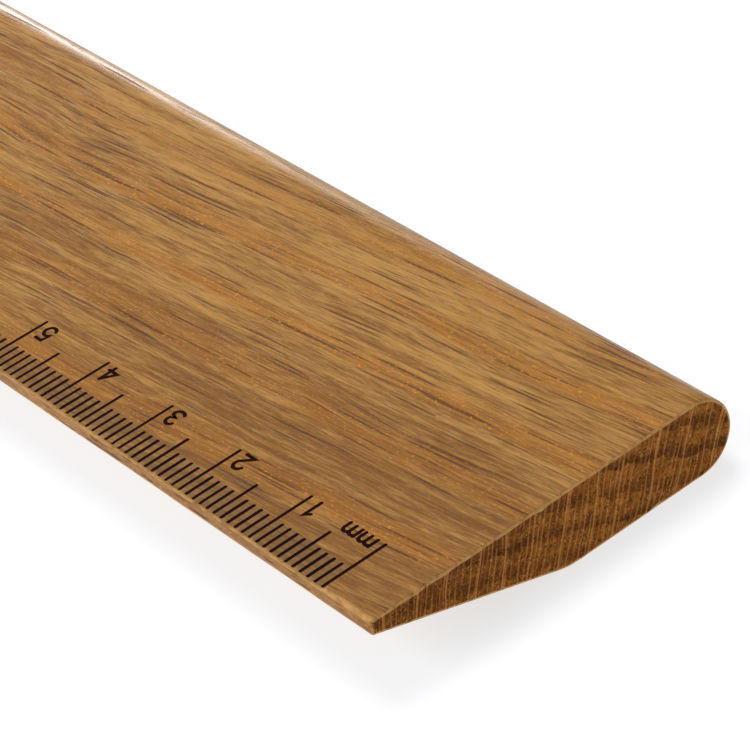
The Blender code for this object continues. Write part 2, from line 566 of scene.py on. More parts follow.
@dataclass(frozen=True)
class OiledOak:
    """Oiled oak, sanded smooth, with open pores."""

    cut: Cut
    figure: Tree
    haze: Tree
    # The tree of the pale edge colour: rubbed wear and a painted highlight.
    wear: Tree
    haze_colour: Colour = (0.150, 0.080, 0.024, 1.0)
    haze_share: float = 0.55
    # How strongly the pale edge colour, rubbed wear and painted highlight, covers the edges.
    worn_share: float = 0.70
    fibre_weight: float = 0.46
    streak_weight: float = 0.34
    tone_weight: float = 0.20
    ground_edge: Span = (0.38, 0.60)
    flame_edge: Span = (0.60, 0.40)
    fibre_roughness: float = 0.16
    pore_roughness: float = 0.30
    flat_height: float = 0.7
    fibre_height: float = 0.30
    pore_depth: float = 0.7
    bump: float = 0.8
    ior: float = 1.45
    polish_roughness: float = 0.26
    polish_ior: float = 1.4

    def material(self) -> Finish:
        """Make the material.

        Returns:
            The material of this cut, on Object coordinates.
        """
        colours = END_GRAIN_COLOURS if self.cut is Cut.END_GRAIN else LONG_GRAIN_COLOURS
        material, bench, shader = new_material(f"oiled_oak_{self.cut.name.lower()}")
        place = bench.add("ShaderNodeTexCoord").outputs["Object"]
        feeds = {"Position": bench.moved("MULTIPLY", place, (1 / MM, 1 / MM, 1 / MM))}
        masks = dict(bench.add("ShaderNodeGroup", feeds, node_tree=self.figure).outputs.items())
        body = self._body_colour(bench, masks, colours)
        # Pale colour along the arrises and the ends' rims: rubbed wood, and a painted highlight line where
        # the edges catch the light.
        rubbed = bench.add("ShaderNodeAttribute", attribute_name=EdgeWear.attribute).outputs["Fac"]
        worn = bench.add("ShaderNodeGroup", {**feeds, "Nearness": rubbed}, node_tree=self.wear).outputs[0]
        body = bench.blend(bench.times(worn, self.worn_share), body, colours.worn)
        if self.cut is Cut.LONG_GRAIN:
            smoke = bench.add("ShaderNodeGroup", feeds, node_tree=self.haze).outputs[0]
            body = bench.blend(bench.times(smoke, self.haze_share), body, self.haze_colour)
        looks = {
            "Base Color": body,
            "Roughness": self._roughness(bench, masks, colours),
            "Normal": self._relief(bench, masks, colours),
            "IOR": self.ior,
            "Specular IOR Level": colours.specular,
            "Coat Weight": colours.polish,
            "Coat Roughness": self.polish_roughness,
            "Coat IOR": self.polish_ior,
        }
        bench.feed(shader, looks)
        return material

    def _body_colour(self, bench: NodeBench, masks: dict[str, Socket], colours: OakColours) -> Socket:
        """The colour of the wood, from the ground tone up to the pores.

        Args:
            bench: The material's bench.
            masks: The figure's outputs.
            colours: The cut's colours.

        Returns:
            The colour.
        """
        fibre = bench.times(masks["Fibre"], self.fibre_weight)
        streaks = bench.maths("MULTIPLY_ADD", masks["Streaks"], self.streak_weight, fibre)
        tone = bench.maths("MULTIPLY_ADD", masks["Tone"], self.tone_weight, streaks)
        wood = bench.blend(bench.fade(tone, *self.ground_edge), colours.dark, colours.light)
        early = bench.times(masks["Earlywood"], colours.earlywood_share)
        wood = bench.blend(early, wood, colours.earlywood)
        if colours.flame_share > 0:
            flame = bench.fade(masks["Flames"], *self.flame_edge, 0.0, colours.flame_share)
            wood = bench.blend(flame, wood, colours.dark)
        rays = bench.times(masks["Rays"], colours.ray_share)
        wood = bench.blend(rays, wood, colours.ray)
        clear = bench.maths("SUBTRACT", 1.0, rays)
        wood = bench.blend(bench.times(masks["Pores"], colours.pore_share, clear), wood, colours.pore)
        seen = bench.between(masks["Earlywood"], colours.fleck_share, colours.early_fleck_share)
        return bench.blend(bench.times(masks["Flecks"], seen), wood, colours.fleck)

    def _roughness(self, bench: NodeBench, masks: dict[str, Socket], colours: OakColours) -> Socket:
        """How dull the wood is: smooth on the late wood, dull in the pores.

        Args:
            bench: The material's bench.
            masks: The figure's outputs.
            colours: The cut's colours.

        Returns:
            The roughness.
        """
        least = colours.roughness - self.fibre_roughness / 2
        uneven = bench.maths("MULTIPLY_ADD", masks["Fibre"], self.fibre_roughness, least)
        return bench.maths("MULTIPLY_ADD", masks["Pores"], self.pore_roughness, uneven, clamp=True)

    def _relief(self, bench: NodeBench, masks: dict[str, Socket], colours: OakColours) -> Socket:
        """The open pores and the raised fibre.

        Args:
            bench: The material's bench.
            masks: The figure's outputs.
            colours: The cut's colours.

        Returns:
            The bumped normal.
        """
        raised = bench.maths("MULTIPLY_ADD", masks["Fibre"], self.fibre_height, self.flat_height)
        height = bench.maths("MULTIPLY_ADD", masks["Pores"], -self.pore_depth, raised)
        inputs = {"Strength": self.bump, "Distance": colours.relief, "Height": height}
        return bench.add("ShaderNodeBump", inputs).outputs["Normal"]


@dataclass(frozen=True)
class ScaleHaze:
    """Smoke stain that the burning left between the short strokes, in millimetres."""

    from_x: float
    to_x: float
    edge_y: float
    top_z: float
    stroke_length: float
    past_strokes: float = 0.2
    soft: float = 0.35
    down: Span = (0.15, 0.02)
    blotches: Mottle = Mottle((1.6, 1.6, 1.6), 3.0, 0.6)
    blotch_edge: Span = (0.25, 0.62)
    least_blotch: float = 0.45

    def group(self) -> Tree:
        """The shader node group of the stain.

        Returns:
            A group that takes a position in millimetres and puts out Haze.
        """
        bench, source, target = new_group("scale_haze", {"Position": "Vector"}, {"Haze": "Float"})
        place = source.outputs["Position"]
        x, y, z = bench.axes(place)
        far = self.edge_y + self.stroke_length + self.past_strokes
        near_edge = bench.fade(y, far + self.soft, far - self.soft)
        on_top = bench.fade(z, *(self.top_z - depth for depth in self.down))
        started = bench.fade(x, self.to_x + self.soft, self.to_x - self.soft)
        ended = bench.fade(x, self.from_x - self.soft, self.from_x + self.soft)
        blotch = bench.fade(bench.mottled(place, self.blotches), *self.blotch_edge, self.least_blotch)
        bench.feed(target, {"Haze": bench.times(near_edge, on_top, bench.times(started, ended), blotch)})
        return bench.tree


@dataclass(frozen=True)
class EdgeWear:
    """Pale colour along edges: partly rubbed wood, partly a painted highlight where the arrises catch the
    light. The mesh says how near a place is to an edge.
    """

    attribute: str = "rubbed"
    edge: Span = (0.05, 0.85)
    breaks: Mottle = Mottle((0.9, 1.4, 1.4), 3.0, 0.6)
    break_edge: Span = (0.30, 0.58)
    least_break: float = 0.3

    def group(self) -> Tree:
        """The shader node group of the pale edge colour: rubbed wear and a painted highlight.

        Returns:
            A group that takes a position in millimetres and the nearness, and puts out the strength of the
            pale edge colour, rubbed wear and painted highlight.
        """
        inputs = {"Position": "Vector", "Nearness": "Float"}
        bench, source, target = new_group("edge_wear_and_highlight", inputs, {"Wear": "Float"})
        edges = bench.fade(source.outputs["Nearness"], *self.edge)
        breaks = bench.mottled(source.outputs["Position"], self.breaks)
        broken = bench.fade(breaks, *self.break_edge, self.least_break)
        bench.feed(target, {"Wear": bench.times(edges, broken)})
        return bench.tree


@dataclass(frozen=True)
class CharredWood:
    """Wood burnt black, dry and crumbly."""

    name: str
    deep: Colour
    pale: Colour
    grain: Mottle = Mottle((4.5 / MM, 9.0 / MM, 9.0 / MM), 4.0, 0.65)
    pale_edge: Span = (0.40, 0.78)
    roughness: float = 0.72
    crumb_roughness: float = 0.2
    specular: float = 0.06
    relief: float = 0.03 * MM
    bump: float = 0.7

    def material(self) -> Finish:
        """Make the material.

        Returns:
            The material, on Object coordinates.
        """
        material, bench, shader = new_material(self.name)
        crumbs = bench.mottled(bench.add("ShaderNodeTexCoord").outputs["Object"], self.grain)
        inputs = {"Strength": self.bump, "Distance": self.relief, "Height": crumbs}
        looks = {
            "Base Color": bench.blend(bench.fade(crumbs, *self.pale_edge), self.deep, self.pale),
            "Roughness": bench.maths("MULTIPLY_ADD", crumbs, self.crumb_roughness, self.roughness),
            "Specular IOR Level": self.specular,
            "Normal": bench.add("ShaderNodeBump", inputs).outputs["Normal"],
        }
        bench.feed(shader, looks)
        return material


CHARRED_WOOD = CharredWood(
    "charred_wood", deep=(0.008, 0.0009, 0.0009, 1.0), pale=(0.026, 0.004, 0.003, 1.0)
)
SCORCHED_OAK = CharredWood(
    "scorched_oak", deep=(0.012, 0.004, 0.002, 1.0), pale=(0.050, 0.018, 0.006, 1.0)
)


# ---------------------------------------------------------------- mesh helpers


def mesh_object(name: str, form: Form) -> Thing:
    """Turn a bmesh into an object at the origin.

    Args:
        name: The object's and the mesh's name.
        form: The bmesh, which is freed.

    Returns:
        The object, linked to the scene.
    """
    mesh = bpy.data.meshes.new(name)
    form.to_mesh(mesh)
    form.free()
    obj = bpy.data.objects.new(name, mesh)
    bpy.context.scene.collection.objects.link(obj)
    return obj


def settle(obj: Thing) -> None:
    """Replace an object's mesh by its evaluated one and drop its modifiers.

    Args:
        obj: The object, which is changed.
    """
    bpy.context.view_layer.update()
    evaluated = obj.evaluated_get(bpy.context.evaluated_depsgraph_get())
    mesh = bpy.data.meshes.new_from_object(evaluated)
    obj.modifiers.clear()
    obj.data = mesh
    mesh.name = obj.name


def combine(obj: Thing, others: list[Thing], operation: str) -> None:
    """Cut closed solids out of an object, or join them to it. New walls keep the solid's material.

    Args:
        obj: The object, which is changed.
        others: The solids, which are removed.
        operation: DIFFERENCE or UNION.
    """
    for other in others:
        step = obj.modifiers.new(other.name, "BOOLEAN")
        step.operation = operation
        step.solver = "MANIFOLD"
        step.object = other
        step.material_mode = "TRANSFER"
    settle(obj)
    for other in others:
        bpy.data.objects.remove(other)


def face_outwards(obj: Thing) -> None:
    """Turn every face of closed solids outwards.

    Args:
        obj: The solids, which are changed.
    """
    form = bmesh.new()
    form.from_mesh(obj.data)
    bmesh.ops.recalc_face_normals(form, faces=form.faces)
    form.to_mesh(obj.data)
    form.free()


# ---------------------------------------------------------------- the blank


class SectionPoint(NamedTuple):
    """A point of the section: its place, its outward normal, and whether the next stretch is round."""

    y: float
    z: float
    normal_y: float
    normal_z: float
    is_round: bool


class Nick(NamedTuple):
    """A knock in the zero end's rim, in millimetres: its place, its depth and how far it reaches."""

    y: float
    z: float
    depth: float
    reach: float


@dataclass
class OakBlank:
    """The stick: a wedge section with a flat top, a full-round thick edge and a bevelled underside."""

    low: Vector
    high: Vector
    thin_edge_height: float = 1.5 * MM
    ridge_from_thin_edge: float = 20.5 * MM
    ridge_radius: float = 8.0 * MM
    arris_radius: float = 0.22 * MM
    end_ease: float = 0.18 * MM
    station_pitch: float = 2.0 * MM
    flat_pitch: float = 0.6 * MM
    least_flat_steps: int = 6
    nose_segments: int = 56
    ridge_segments: int = 14
    arris_segments: int = 6
    ease_segments: int = 4
    rim_band: float = 0.12 * MM
    # How strongly the ends' rims and the thin edge's arrises take the pale edge colour: rubbed wood and a
    # painted highlight.
    rim_rubbed: float = 3.0
    arris_rubbed: float = 0.7
    arris_wear: float = 0.03 * MM
    arris_wear_share: float = 0.35
    arris_patch: Span = (4.0 * MM, 3.0 * MM)
    arris_row: float = 0.3
    rim_wear: float = 0.05 * MM
    rim_wear_share: float = 0.25
    rim_patch: float = 0.9 * MM
    zero_end_row: float = 9.0
    far_end_row: float = 4.0
    nicks: tuple[Nick, ...] = (
        Nick(-1.3, 7.8, 0.18, 0.45),
        Nick(10.9, 0.0, 0.22, 0.40),
        Nick(-12.0, 7.8, 0.08, 0.6),
    )

    def outline(self) -> list[SectionPoint]:
        """The section, anticlockwise seen from the zero end, from the foot of the thin edge.

        Returns:
            The points, each with its outward normal.
        """
        low, high = self.low, self.high
        foot_z = high.z - self.thin_edge_height
        ridge_y = low.y + self.ridge_from_thin_edge
        slope = math.atan2(foot_z - low.z, self.ridge_from_thin_edge)
        nose = (high.z - low.z) / 2
        quarter = math.pi / 2
        corners = (
            self._corner(low.y, foot_z, (-quarter, -slope), self.arris_radius, self.arris_segments),
            self._corner(ridge_y, low.z, (-slope, 0.0), self.ridge_radius, self.ridge_segments),
            self._arc(high.y - nose, low.z + nose, nose, (-quarter, quarter), self.nose_segments),
            self._corner(low.y, high.z, (math.pi, 3 * quarter), self.arris_radius, self.arris_segments),
        )
        points: list[SectionPoint] = []
        for corner, following in zip(corners, corners[1:] + corners[:1]):
            points += corner
            points += self._flat(corner[-1], following[0])
        return points

    @staticmethod
    def _arc(y: float, z: float, radius: float, turn: Span, segments: int) -> list[SectionPoint]:
        """An arc of the section.

        Args:
            y: The centre's Y.
            z: The centre's Z.
            radius: The arc's radius.
            turn: Its first and last angle.
            segments: The number of straight steps.

        Returns:
            The points, both ends included.
        """
        start, end = turn
        points = []
        for i in range(segments + 1):
            angle = start + (end - start) * i / segments
            across, up = math.cos(angle), math.sin(angle)
            points.append(SectionPoint(y + radius * across, z + radius * up, across, up, i < segments))
        return points

    @classmethod
    def _corner(cls, y: float, z: float, travel: Span, radius: float, segments: int) -> list[SectionPoint]:
        """A rounded corner of the section.

        Args:
            y: The sharp corner's Y.
            z: The sharp corner's Z.
            travel: The directions of travel before and after it.
            radius: The radius of the rounding.
            segments: The number of straight steps.

        Returns:
            The points of the arc.
        """
        arriving, leaving = travel
        quarter = math.pi / 2
        half_turn = (leaving - arriving) / 2
        reach = radius / math.cos(half_turn)
        middle = arriving + half_turn + quarter
        centre = (y + reach * math.cos(middle), z + reach * math.sin(middle))
        return cls._arc(*centre, radius, (arriving - quarter, leaving - quarter), segments)

    def _flat(self, start: SectionPoint, end: SectionPoint) -> list[SectionPoint]:
        """A flat stretch of the section.

        Args:
            start: The last point of the arc before it.
            end: The first point of the arc after it.

        Returns:
            Even points between the two, without them.
        """
        span = math.hypot(end.y - start.y, end.z - start.z)
        steps = max(self.least_flat_steps, round(span / self.flat_pitch))
        points = []
        for i in range(1, steps):
            y = start.y + (end.y - start.y) * (i / steps)
            z = start.z + (end.z - start.z) * (i / steps)
            points.append(SectionPoint(y, z, start.normal_y, start.normal_z, False))
        return points

    def stations(self) -> list[tuple[float, float]]:
        """Where the section is repeated along the ruler.

        Returns:
            Pairs of X and how far the section is drawn in there, from the far end to the zero end.
        """
        far, near = self.low.x, self.high.x
        ease = self.end_ease
        rim = []
        for i in range(self.ease_segments + 1):
            angle = math.pi / 2 * (1 - i / self.ease_segments)
            rim.append((ease * (1 - math.sin(angle)), ease * (1 - math.cos(angle))))
        inner = near - far - 2 * ease
        count = round(inner / self.station_pitch)
        start = [(far + back, inset) for back, inset in rim]
        middle = [(far + ease + inner * i / count, 0.0) for i in range(1, count)]
        end = [(near - back, inset) for back, inset in reversed(rim)]
        return start + middle + end

    def _on_arris(self, point: SectionPoint) -> bool:
        """Whether a point is on one of the thin edge's two arrises."""
        return point.is_round and point.y < self.low.y + 2 * self.arris_radius

    def _wear(self, x: float, point: SectionPoint, inset: float) -> float:
        """How far hands and time have drawn a point in.

        Args:
            x: The station's X.
            point: The point of the section.
            inset: How far the section is drawn in at this station.

        Returns:
            The extra distance.
        """
        worn = 0.0
        if self._on_arris(point):
            along, up = self.arris_patch
            place = Vector((x / along, point.z / up, self.arris_row))
            worn += self.arris_wear * max(0.0, self.arris_wear_share + noise.noise(place))
        share = inset / self.end_ease
        if share > 0:
            row = self.zero_end_row if x > 0 else self.far_end_row
            place = Vector((point.y / self.rim_patch, point.z / self.rim_patch, row))
            worn += self.rim_wear * share * max(0.0, self.rim_wear_share + noise.noise(place))
        if share > 0 and x > 0:
            for nick in self.nicks:
                away = math.hypot(point.y - nick.y * MM, point.z - nick.z * MM) / (nick.reach * MM)
                worn += nick.depth * MM * share * math.exp(-away * away)
        return worn

    def _rings(self, form: Form, outline: list[SectionPoint]) -> list[list[bmesh.types.BMVert]]:
        """Place the section at each station, and mark how near each point is to an edge that takes the pale
        colour of rubbed wear and painted highlight.

        Args:
            form: The blank's mesh.
            outline: The section.

        Returns:
            The vertices of each station, from the far end on.
        """
        rubbed = form.verts.layers.float.new(EdgeWear.attribute)
        rings = []
        for x, inset in self.stations():
            ring = []
            for point in outline:
                drawn_in = inset + self._wear(x, point, inset)
                place = (x, point.y - point.normal_y * drawn_in, point.z - point.normal_z * drawn_in)
                ring.append(form.verts.new(place))
                on_rim = inset / self.end_ease * self.rim_rubbed
                # Nearness to a pale edge: rubbed wood and a painted highlight on the rims and arrises.
                ring[-1][rubbed] = min(1.0, max(on_rim, self.arris_rubbed * self._on_arris(point)))
            rings.append(ring)
        return rings

    def _close_end(
        self, form: Form, cap: list[bmesh.types.BMVert], outline: list[SectionPoint]
    ) -> None:
        """Close a sawn end with a narrow band round a plain middle, so that the pale rim colour, rubbed wear
        and painted highlight, can stay on the band.

        Args:
            form: The blank's mesh.
            cap: The end's outermost ring.
            outline: The section.
        """
        inner = []
        for vertex, point in zip(cap, outline):
            shift = Vector((0.0, -point.normal_y, -point.normal_z)) * self.rim_band
            inner.append(form.verts.new(vertex.co + shift))
        faces = [form.faces.new(inner)]
        for i in range(len(cap)):
            j = (i + 1) % len(cap)
            faces.append(form.faces.new((cap[i], cap[j], inner[j], inner[i])))
        for face in faces:
            face.material_index = Cut.END_GRAIN.value

    def build(self, oak: Finish, end_oak: Finish) -> Thing:
        """Loft the section along the ruler and close its ends.

        Args:
            oak: The material of the long sides.
            end_oak: The material of the sawn ends.

        Returns:
            The blank, with no engraving yet.
        """
        outline = self.outline()
        form = bmesh.new()
        rings = self._rings(form, outline)
        last_full = len(rings) - 1 - self.ease_segments
        for number, (ring, following) in enumerate(zip(rings, rings[1:])):
            on_rim = number < self.ease_segments or number >= last_full
            for i, point in enumerate(outline):
                j = (i + 1) % len(outline)
                face = form.faces.new((ring[i], ring[j], following[j], following[i]))
                face.smooth = point.is_round or on_rim
        for cap in (rings[0], rings[-1]):
            self._close_end(form, cap, outline)
        bmesh.ops.recalc_face_normals(form, faces=form.faces)
        blank = mesh_object("oak_ruler_body", form)
        for finish in (oak, end_oak):
            blank.data.materials.append(finish)
        return blank


# ---------------------------------------------------------------- the scale


class Layer(NamedTuple):
    """How marks are made solid: the height of their tops, their depth, their extra width and their finish."""

    top_z: float
    depth: float
    spare: float
    finish: Finish


@dataclass
class Graduations:
    """The strokes of the scale: one each millimetre, in three lengths."""

    zero: Vector
    end_x: float
    centimetre_length: float
    half_centimetre_length: float = 5.0 * MM
    millimetre_length: float = 3.1 * MM
    stroke_width: float = 0.34 * MM
    pitch: float = 1.0 * MM
    end_roundness: float = 0.46
    end_segments: int = 4
    least_size: Triple = (0.92, 0.985, 1.0)
    most_size: Triple = (1.10, 1.012, 1.0)
    lean: float = 0.003
    weld_distance: float = 0.001 * MM
    seed: int = 7

    def _values(self, layer: Layer) -> dict[str, object]:
        """What the tree's inputs are set to.

        Args:
            layer: How the strokes are made.

        Returns:
            Each input's name and its value.
        """
        spare = layer.spare
        return {
            "Count": round((self.zero.x - self.end_x) / self.pitch) + 1,
            "Pitch": self.pitch,
            "Start": (self.zero.x, self.zero.y - spare, layer.top_z),
            "Stroke Width": self.stroke_width + 2 * spare,
            "Depth": layer.depth,
            "Seed": self.seed,
            "Material": layer.finish,
            "MILLIMETRE Length": self.millimetre_length + 2 * spare,
            "HALF_CENTIMETRE Length": self.half_centimetre_length + 2 * spare,
            "CENTIMETRE Length": self.centimetre_length + 2 * spare,
        }

    def tree(self) -> Tree:
        """The Geometry Nodes tree that makes the strokes.

        Returns:
            A tree with inputs for the count, pitch, sizes, seed and material.
        """
        kinds = {
            "Geometry": "Geometry",
            "Count": "Int",
            "Pitch": "Float",
            "Start": "Vector",
            "Stroke Width": "Float",
            "Depth": "Float",
            "Seed": "Int",
            "Material": "Material",
            **{f"{mark.name} Length": "Float" for mark in Mark},
        }
        bench, source, target = new_group(
            "graduation_strokes", kinds, {"Geometry": "Geometry"}, "GeometryNodeTree"
        )
        feeds = source.outputs
        step = bench.vector(bench.times(feeds["Pitch"], -1.0))
        inputs = {"Count": feeds["Count"], "Start Location": feeds["Start"], "Offset": step}
        line = bench.add("GeometryNodeMeshLine", inputs, mode="OFFSET").outputs["Mesh"]
        strokes = [self._strokes_of(bench, feeds, line, mark) for mark in Mark]
        joined = self._joined(bench, strokes)
        real = bench.add("GeometryNodeRealizeInstances", {0: joined}).outputs[0]
        inputs = {"Geometry": real, "Material": feeds["Material"]}
        dressed = bench.add("GeometryNodeSetMaterial", inputs).outputs[0]
        bench.feed(target, {"Geometry": dressed})
        return bench.tree

    @staticmethod
    def _joined(bench: NodeBench, pieces: list[Socket]) -> Socket:
        """Join pieces of geometry.

        Args:
            bench: The tree's bench.
            pieces: The pieces.

        Returns:
            All of them as one geometry.
        """
        joined = bench.add("GeometryNodeJoinGeometry")
        for piece in pieces:
            bench.feed(joined, {0: piece})
        return joined.outputs[0]

    @staticmethod
    def _selection(bench: NodeBench, mark: Mark) -> Socket:
        """Choose the points whose stroke is of one kind.

        Args:
            bench: The tree's bench.
            mark: The kind.

        Returns:
            True on those points.
        """
        index = bench.add("GeometryNodeInputIndex").outputs[0]
        on_ten, on_five = (
            bench.maths("COMPARE", bench.maths("MODULO", index, float(step.value)), 0.0, 0.5)
            for step in (Mark.CENTIMETRE, Mark.HALF_CENTIMETRE)
        )
        if mark is Mark.CENTIMETRE:
            return on_ten
        if mark is Mark.HALF_CENTIMETRE:
            return bench.maths("SUBTRACT", on_five, on_ten)
        return bench.maths("SUBTRACT", 1.0, on_five)

    def _solid(self, bench: NodeBench, length: Socket, width: Socket, depth: Socket) -> Socket:
        """One stroke: a prism with round corners that starts at the origin and runs along Y.

        Args:
            bench: The tree's bench.
            length: The stroke's length.
            width: Its width.
            depth: How far it reaches down.

        Returns:
            The stroke, closed.
        """
        inputs = {"Width": width, "Height": length}
        box = bench.add("GeometryNodeCurvePrimitiveQuadrilateral", inputs).outputs[0]
        inputs = {"Curve": box, "Count": self.end_segments, "Radius": bench.times(width, self.end_roundness)}
        outline = bench.add("GeometryNodeFilletCurve", inputs, mode="POLY").outputs[0]
        inputs = {"Geometry": outline, "Translation": bench.vector(0.0, bench.times(length, 0.5))}
        placed = bench.add("GeometryNodeTransform", inputs).outputs[0]
        lid = bench.add("GeometryNodeFillCurve", {"Curve": placed}, mode="NGONS").outputs[0]
        down = bench.vector(0.0, 0.0, bench.times(depth, -1.0))
        inputs = {"Mesh": lid, "Offset": down, "Offset Scale": 1.0, "Individual": False}
        walls = bench.add("GeometryNodeExtrudeMesh", inputs).outputs[0]
        turned = bench.add("GeometryNodeFlipFaces", {"Mesh": lid}).outputs[0]
        inputs = {"Geometry": self._joined(bench, [walls, turned]), "Distance": self.weld_distance}
        return bench.add("GeometryNodeMergeByDistance", inputs).outputs[0]

    def _strokes_of(self, bench: NodeBench, feeds: dict[str, Socket], points: Socket, mark: Mark) -> Socket:
        """One kind's strokes, each a little uneven.

        Args:
            bench: The tree's bench.
            feeds: The tree's inputs by name.
            points: A point for each millimetre.
            mark: The kind.

        Returns:
            A stroke on each of the kind's points.
        """
        length = feeds[f"{mark.name} Length"]
        inputs = {
            "Points": points,
            "Selection": self._selection(bench, mark),
            "Instance": self._solid(bench, length, feeds["Stroke Width"], feeds["Depth"]),
        }
        turns = ((0.0, 0.0, -self.lean), (0.0, 0.0, self.lean))
        for name, (least, most) in {"Scale": (self.least_size, self.most_size), "Rotation": turns}.items():
            limits = {0: least, 1: most, "Seed": feeds["Seed"]}
            chance = bench.add("FunctionNodeRandomValue", limits, data_type="FLOAT_VECTOR")
            inputs[name] = chance.outputs[0]
        return bench.add("GeometryNodeInstanceOnPoints", inputs).outputs[0]

    def build(self, name: str, layer: Layer) -> Thing:
        """Make the strokes as one mesh.

        Args:
            name: The object's name.
            layer: How the strokes are made.

        Returns:
            The strokes, as closed solids.
        """
        tree = self.tree()
        host = bpy.data.objects.new(name, bpy.data.meshes.new(name))
        bpy.context.scene.collection.objects.link(host)
        maker = host.modifiers.new("strokes", "NODES")
        maker.node_group = tree
        values = self._values(layer)
        for item in tree.interface.items_tree:
            if item.in_out == "INPUT" and item.name in values:
                maker[item.identifier] = values[item.name]
        settle(host)
        face_outwards(host)
        return host


def arc_path(centre: Point, radii: Point, start: float, end: float, steps: int = 14) -> Path:
    """Points along an ellipse's arc.

    Args:
        centre: The ellipse's centre.
        radii: Its half width and half height.
        start: The first angle in degrees, anticlockwise from the reader's right.
        end: The last angle.
        steps: The number of straight steps.

    Returns:
        The points, both ends included.
    """
    angles = [math.radians(start + (end - start) * i / steps) for i in range(steps + 1)]
    return [(centre[0] + radii[0] * math.cos(a), centre[1] + radii[1] * math.sin(a)) for a in angles]


def ring_path(centre: Point, radii: Point, steps: int) -> Path:
    """A whole ellipse from its top, with no point twice."""
    return arc_path(centre, radii, 90, 450, steps)[:-1]


class Stroke(NamedTuple):
    """One stroke of a glyph: its path, whether it closes, and which of two passes burns it."""

    path: Path
    closed: bool = False
    burn_pass: int = 0


DIGIT_WIDTH = 0.62
LETTER_WIDTH = 1.44


def glyph_strokes(glyph: str) -> list[Stroke]:
    """The single-line strokes of a glyph, 1 high, with its left foot at the origin.

    Strokes of one pass never meet, so that each pass is made of separate solids.

    Args:
        glyph: A digit, or m.

    Returns:
        The strokes.
    """
    right = DIGIT_WIDTH
    loop = ring_path((0.31, 0.31), (0.29, 0.31), 24)
    tail = arc_path((0.62, 0.31), (0.60, 0.69), 178, 112, 8)
    hook = arc_path((0.31, 0.71), (0.28, 0.29), 165, -38)
    upper = arc_path((0.29, 0.74), (0.26, 0.26), 155, -90)
    lower = arc_path((0.29, 0.24), (0.31, 0.24), 90, -150)
    belly = arc_path((0.28, 0.32), (0.31, 0.32), 118, -148)
    arch = arc_path((0.36, 0.62), (0.36, 0.38), 180, 0)
    half = LETTER_WIDTH / 2
    table = {
        "0": [Stroke(ring_path((0.31, 0.5), (0.28, 0.5), 26), True)],
        "1": [Stroke([(0.14, 0.80), (0.38, 1.0), (0.38, 0.0)])],
        "2": [Stroke(hook + [(0.0, 0.0), (right, 0.0)])],
        "3": [Stroke(upper + lower[1:])],
        "4": [
            Stroke([(0.46, 0.0), (0.46, 1.0)]),
            Stroke([(0.46, 1.0), (0.0, 0.27), (right, 0.27)], False, 1),
        ],
        "5": [Stroke([(0.56, 1.0), (0.10, 1.0), (0.05, 0.55)] + belly)],
        "6": [Stroke(loop, True), Stroke(tail, False, 1)],
        "7": [Stroke([(0.0, 1.0), (0.60, 1.0), (0.20, 0.0)])],
        "8": [
            Stroke(ring_path((0.31, 0.76), (0.24, 0.24), 22), True),
            Stroke(ring_path((0.31, 0.26), (0.30, 0.26), 24), True, 1),
        ],
        "9": [
            Stroke([(right - u, 1.0 - v) for u, v in loop], True),
            Stroke([(right - u, 1.0 - v) for u, v in tail], False, 1),
        ],
        "m": [
            Stroke([(0.0, 0.0), (0.0, 1.0)]),
            Stroke(arch + [(half, 0.0)], False, 1),
            Stroke([(u + half, v) for u, v in arch] + [(LETTER_WIDTH, 0.0)]),
        ],
    }
    return table[glyph]


